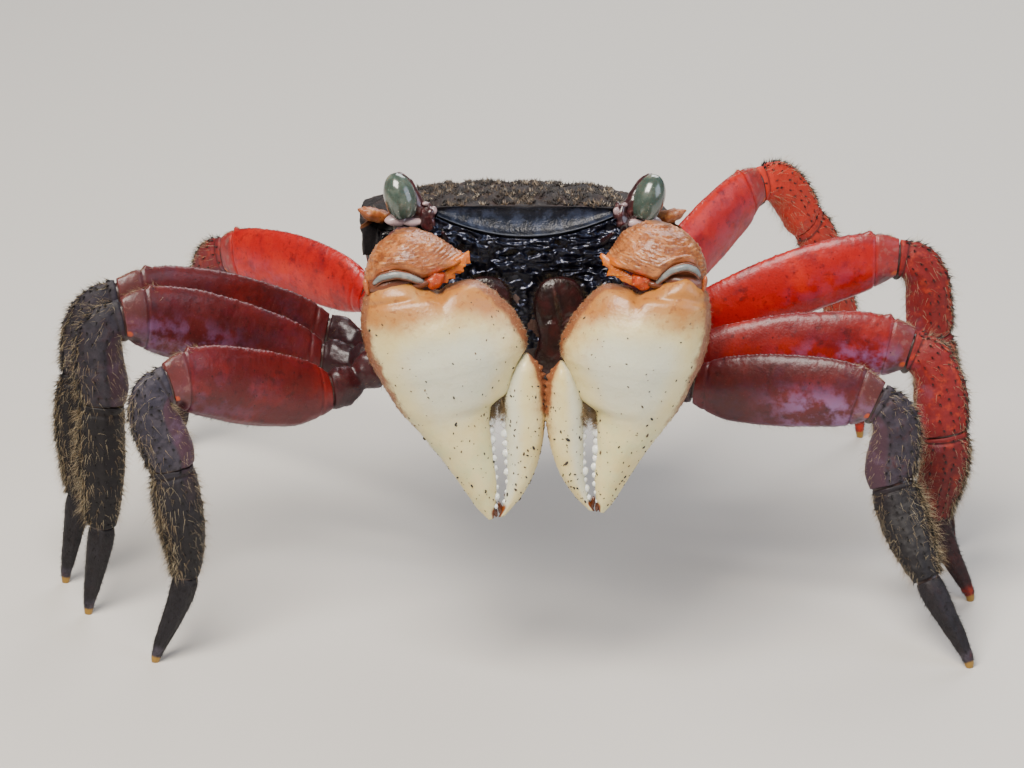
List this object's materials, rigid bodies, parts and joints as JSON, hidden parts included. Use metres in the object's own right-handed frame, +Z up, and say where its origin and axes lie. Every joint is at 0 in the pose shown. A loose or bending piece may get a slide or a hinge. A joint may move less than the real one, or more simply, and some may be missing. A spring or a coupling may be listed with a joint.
{
  "type": "sesarmid marsh crab model",
  "caption": "Life-size still model of a marsh crab standing on flat ground with both cream claws hanging in front of its dark face.",
  "frame": {"origin": "on the ground under the middle of the crab's bounding box", "axes": "+X to the crab's left, -Y the way the crab faces, +Z up; the body is turned 7 degrees in its own plane and that plane is pitched 20 degrees nose up"},
  "size_m": [0.1097, 0.0705, 0.0577],
  "materials": {
    "shell_dark": "damp dark purple-brown shell with grainy lobes",
    "shell_under": "dull brown shell",
    "mouth": "wet dark maroon shell",
    "leg_red": "satin bright red shell that lets some light through",
    "leg_maroon": "satin maroon shell with purple tints",
    "leg_lower": "dull mottled shell with dark bristles",
    "claw_cream": "satin cream shell with small dark specks",
    "wrist_orange": "grainy orange-brown shell",
    "eye": "glossy grey-green cornea"
  },
  "bodies": {
    "root": {"carapace": "shell_dark", "thorax": "shell_under", "tail_flap": "shell_under", "mouth_plate_left": "mouth", "mouth_plate_right": "mouth", "eye_stalk_left": "mouth", "eye_stalk_right": "mouth", "eye_left": "eye", "eye_right": "eye", "feeler_left": "wrist_orange", "feeler_right": "wrist_orange", "claw_left_arm": "leg_maroon", "claw_left_wrist": "wrist_orange", "claw_left_palm": "claw_cream", "claw_left_finger": "claw_cream", "claw_right_arm": "leg_maroon", "claw_right_wrist": "wrist_orange", "claw_right_palm": "claw_cream", "claw_right_finger": "claw_cream", "leg1_left_base": "leg_maroon", "leg1_left_merus": "leg_maroon", "leg1_left_carpus": "leg_lower", "leg1_left_propodus": "leg_lower", "leg1_left_dactyl": "leg_lower", "leg2_left_base": "leg_maroon", "leg2_left_merus": "leg_maroon", "leg2_left_carpus": "leg_lower", "leg2_left_propodus": "leg_lower", "leg2_left_dactyl": "leg_lower", "leg3_left_base": "leg_red", "leg3_left_merus": "leg_red", "leg3_left_carpus": "leg_lower", "leg3_left_propodus": "leg_lower", "leg3_left_dactyl": "leg_lower", "leg4_left_base": "leg_red", "leg4_left_merus": "leg_red", "leg4_left_carpus": "leg_lower", "leg4_left_propodus": "leg_lower", "leg4_left_dactyl": "leg_lower", "leg1_right_base": "leg_maroon", "leg1_right_merus": "leg_maroon", "leg1_right_carpus": "leg_lower", "leg1_right_propodus": "leg_lower", "leg1_right_dactyl": "leg_lower", "leg2_right_base": "leg_maroon", "leg2_right_merus": "leg_maroon", "leg2_right_carpus": "leg_lower", "leg2_right_propodus": "leg_lower", "leg2_right_dactyl": "leg_lower", "leg3_right_base": "leg_red", "leg3_right_merus": "leg_red", "leg3_right_carpus": "leg_lower", "leg3_right_propodus": "leg_lower", "leg3_right_dactyl": "leg_lower", "leg4_right_base": "leg_red", "leg4_right_merus": "leg_red", "leg4_right_carpus": "leg_lower", "leg4_right_propodus": "leg_lower", "leg4_right_dactyl": "leg_lower"}
  },
  "joints": []
}
